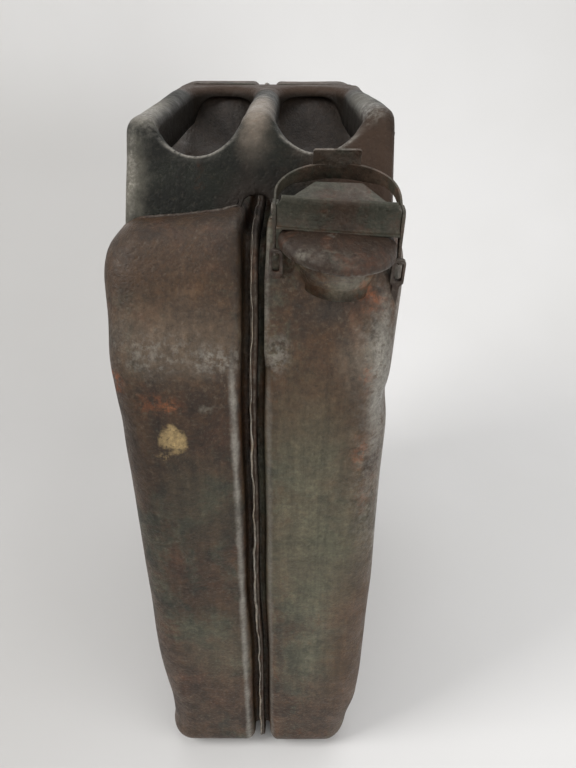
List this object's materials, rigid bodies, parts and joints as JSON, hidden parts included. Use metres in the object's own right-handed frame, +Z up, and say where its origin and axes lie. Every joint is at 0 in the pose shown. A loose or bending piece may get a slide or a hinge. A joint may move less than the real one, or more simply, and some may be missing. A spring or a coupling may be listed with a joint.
{
  "type": "jerry can",
  "caption": "Old steel jerry can of two pressed halves with a recessed centre seam, a one-piece pressed handle with a pair of openings, and an offset filler neck under a cam-lever cap",
  "frame": {"origin": "on the ground at the centre of the overall footprint box", "axes": "+Z up, +X toward the half that carries the filler neck, -Y the narrow front face with the filler"},
  "size_m": [0.165, 0.3532, 0.519],
  "materials": {
    "painted_old": "worn matt paint with rust",
    "handle_paint": "worn grey-green paint, bare edges",
    "weld_steel": "rusted weld bead",
    "closure_steel": "rusted closure sheet",
    "pin_steel": "dull rivet steel",
    "gasket_rubber": "aged rubber"
  },
  "bodies": {
    "can": {"body_shell_left": "painted_old", "body_shell_right": "painted_old", "seam_weld": "weld_steel", "handle_pressing": "handle_paint", "handle_weld_front": "weld_steel", "handle_weld_rear": "weld_steel", "filler_neck": "closure_steel", "breather_tube": "closure_steel", "left_keeper_lug": "closure_steel", "right_keeper_lug": "closure_steel", "left_hinge_lug": "closure_steel", "right_hinge_lug": "closure_steel", "left_hinge_pin": "pin_steel", "right_hinge_pin": "pin_steel"},
    "cap": {"cap_cover": "closure_steel", "cap_gasket": "gasket_rubber", "gasket_retainer": "closure_steel", "cap_rivet": "pin_steel", "cap_yoke": "closure_steel", "left_lever_rivet": "pin_steel", "right_lever_rivet": "pin_steel"},
    "lever": {"cap_lever": "closure_steel"}
  },
  "joints": [
    {"name": "cap_hinge", "type": "hinge", "parent": "can", "child": "cap", "pos_m": [0.0457, -0.11923, 0.47175], "axis": [-1, 0, 0], "range_deg": [0, 90]},
    {"name": "lever_pivot", "type": "hinge", "parent": "cap", "child": "lever", "pos_m": [0.0457, -0.14015, 0.47689], "axis": [1, 0, 0], "range_deg": [0, 108]}
  ],
  "couplings": [
    {"joint": "lever_pivot", "follows": "cap_hinge", "ratio": 1.2}
  ]
}
